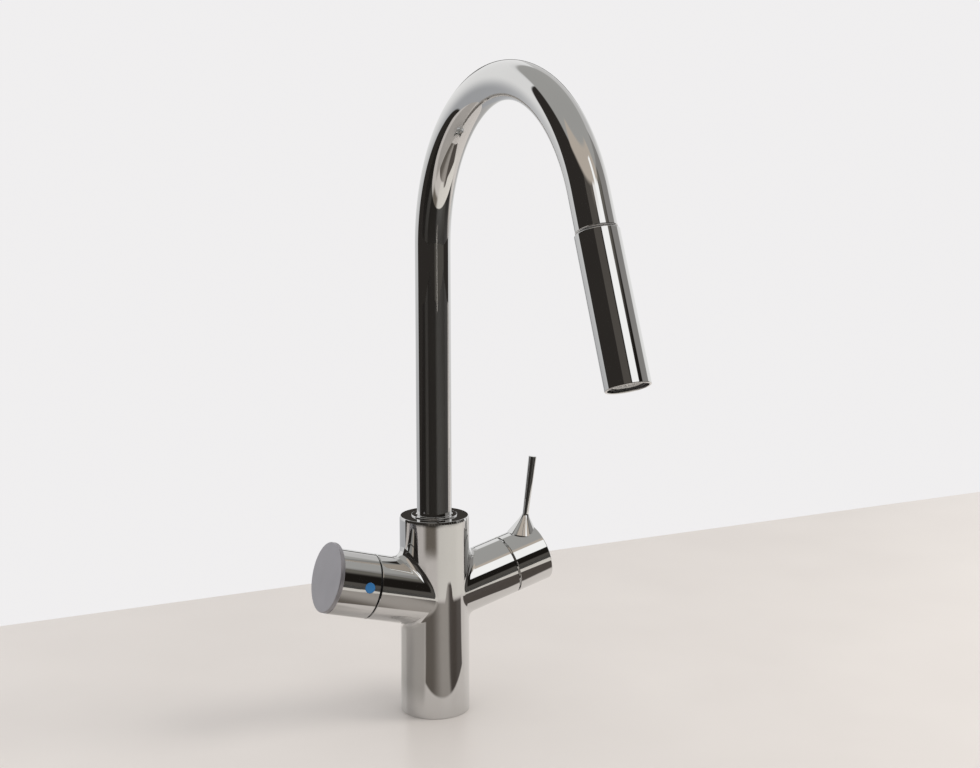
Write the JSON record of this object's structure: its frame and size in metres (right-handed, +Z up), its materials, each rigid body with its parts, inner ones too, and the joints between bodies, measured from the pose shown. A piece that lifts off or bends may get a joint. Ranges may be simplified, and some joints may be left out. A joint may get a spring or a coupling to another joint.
{
  "type": "kitchen tap",
  "caption": "Kitchen tap with a swivelling arched neck, a pull-out wand, a pin-lever mixer on one arm and a filtered water knob on the other.",
  "frame": {"origin": "centre of the body's base, on the worktop", "axes": "+Z up the body, -Y over the sink along the arched neck, +X along the mixer's arm"},
  "size_m": [0.1803, 0.2954, 0.5224],
  "materials": {
    "polished_chrome": "polished",
    "satin_chrome": "satin",
    "stainless_steel": "satin",
    "plain_brass": "machined",
    "black_rubber": "matte",
    "dark_plastic": "matte",
    "pale_plastic": "matte",
    "blue_plastic": "glossy"
  },
  "bodies": {
    "tap_body": {"tap_body": "polished_chrome", "base_gasket": "black_rubber", "mounting_shank": "plain_brass", "rubber_washer": "black_rubber", "steel_washer": "stainless_steel", "back_nut": "plain_brass", "inlet_block": "plain_brass", "lower_glide_bush": "pale_plastic", "upper_glide_bush": "pale_plastic", "neck_cover_ring": "polished_chrome", "neck_stop_screw": "stainless_steel", "mixer_cartridge": "dark_plastic", "cartridge_nut": "plain_brass", "mixer_glide_ring": "pale_plastic", "filter_valve_seal": "black_rubber", "filter_valve": "plain_brass", "filter_glide_ring": "pale_plastic"},
    "neck": {"neck_tube": "polished_chrome", "neck_foot": "plain_brass", "neck_o_rings": "black_rubber", "dock_bush": "dark_plastic"},
    "wand": {"wand_shell": "polished_chrome", "wand_socket": "dark_plastic", "wand_core": "pale_plastic", "hose_connector": "plain_brass", "hose_ferrule": "stainless_steel", "check_valve": "pale_plastic", "aerator_seal": "black_rubber", "aerator_housing": "dark_plastic", "aerator_insert": "pale_plastic"},
    "mixer_handle": {"mixer_spindle": "stainless_steel", "handle_barrel": "polished_chrome", "lever_pin": "polished_chrome", "handle_grub_screw": "stainless_steel", "handle_plug": "polished_chrome"},
    "filter_handle": {"filter_spindle": "plain_brass", "knob_adaptor": "dark_plastic", "filter_knob": "polished_chrome", "knob_end_plate": "satin_chrome", "knob_mark": "blue_plastic", "knob_grub_screw": "stainless_steel", "knob_plug": "polished_chrome"}
  },
  "joints": [
    {"name": "spout_swivel", "type": "hinge", "parent": "tap_body", "child": "neck", "pos_m": [0, 0, 0.126], "axis": [0, 0, 1], "range_deg": [-75, 75]},
    {"name": "wand_pull", "type": "slide", "parent": "neck", "child": "wand", "axis": [0, -0.3827, -0.9239], "range_m": [0, 0.05]},
    {"name": "mixer_turn", "type": "hinge", "parent": "tap_body", "child": "mixer_handle", "pos_m": [0, 0, 0.085], "axis": [0.9659, 0, 0.2588], "range_deg": [0, 100]},
    {"name": "filter_turn", "type": "hinge", "parent": "tap_body", "child": "filter_handle", "pos_m": [0, 0, 0.085], "axis": [0.9659, 0, -0.2588], "range_deg": [0, 90]}
  ]
}
